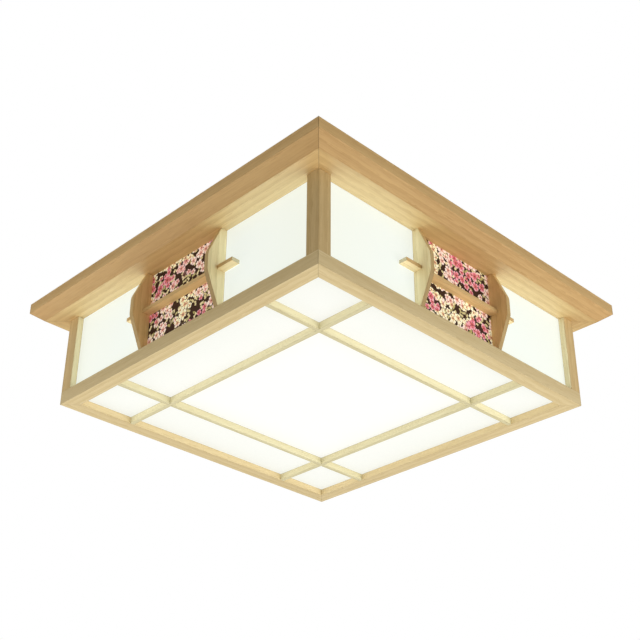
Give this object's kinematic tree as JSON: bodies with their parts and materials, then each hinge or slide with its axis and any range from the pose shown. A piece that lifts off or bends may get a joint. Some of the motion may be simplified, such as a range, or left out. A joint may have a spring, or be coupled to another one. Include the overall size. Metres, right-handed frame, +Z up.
{
  "type": "ceiling lamp",
  "caption": "Square wooden ceiling lamp with a bevelled eave, glowing side panels with angled cheeks and printed fabric, and a pull-down lattice frame under a diffuser.",
  "frame": {"origin": "middle of the mounting strip's top face, in the plane of the ceiling", "axes": "+Z up into the ceiling, the lamp hanging below it; -Y towards the front, +X to the right"},
  "size_m": [0.45, 0.45, 0.122],
  "materials": {
    "eave_wood": "satin clear coat",
    "post_wood": "satin clear coat",
    "frame_wood": "satin clear coat",
    "ornament_wood": "satin clear coat",
    "joint_wood": "raw",
    "panel_sheet": "translucent, matt",
    "diffuser_sheet": "translucent, matt",
    "printed_fabric": "small floral print on a dark ground",
    "white_steel": "powder coat",
    "plated_steel": "zinc plated",
    "magnet": "nickel plated",
    "black_rubber": "matt",
    "light_board": "white solder mask",
    "clear_lens": "frosted, glossy",
    "driver_case": "moulded",
    "terminal_plastic": "moulded"
  },
  "bodies": {
    "lamp_body": {"eave_front": "eave_wood", "side_panel_front": "panel_sheet", "cheek_front_left": "ornament_wood", "cheek_front_right": "ornament_wood", "cross_bar_front": "ornament_wood", "fabric_front": "printed_fabric", "light_bar_front": "light_board", "eave_right": "eave_wood", "side_panel_right": "panel_sheet", "cheek_right_left": "ornament_wood", "cheek_right_right": "ornament_wood", "cross_bar_right": "ornament_wood", "fabric_right": "printed_fabric", "light_bar_right": "light_board", "eave_back": "eave_wood", "side_panel_back": "panel_sheet", "cheek_back_left": "ornament_wood", "cheek_back_right": "ornament_wood", "cross_bar_back": "ornament_wood", "fabric_back": "printed_fabric", "light_bar_back": "light_board", "eave_left": "eave_wood", "side_panel_left": "panel_sheet", "cheek_left_left": "ornament_wood", "cheek_left_right": "ornament_wood", "cross_bar_left": "ornament_wood", "fabric_left": "printed_fabric", "light_bar_left": "light_board", "post_front_right": "post_wood", "post_back_right": "post_wood", "post_back_left": "post_wood", "post_front_left": "post_wood", "mitre_splines": "joint_wood", "post_dowels": "joint_wood", "magnets": "magnet", "mounting_strip": "plated_steel", "mounting_studs": "plated_steel", "cap_nuts": "plated_steel", "base_plate": "white_steel", "cable_grommet": "black_rubber", "lenses": "clear_lens", "led_driver": "driver_case", "terminal_block": "terminal_plastic"},
    "bottom_frame": {"rail_front": "frame_wood", "rail_right": "frame_wood", "rail_back": "frame_wood", "rail_left": "frame_wood", "lattice_front": "frame_wood", "lattice_right": "frame_wood", "lattice_back": "frame_wood", "lattice_left": "frame_wood", "diffuser": "diffuser_sheet", "corner_plates": "plated_steel"}
  },
  "joints": [
    {"name": "frame_pull_down", "type": "slide", "parent": "lamp_body", "child": "bottom_frame", "axis": [0, 0, -1], "range_m": [0, 0.12]}
  ]
}
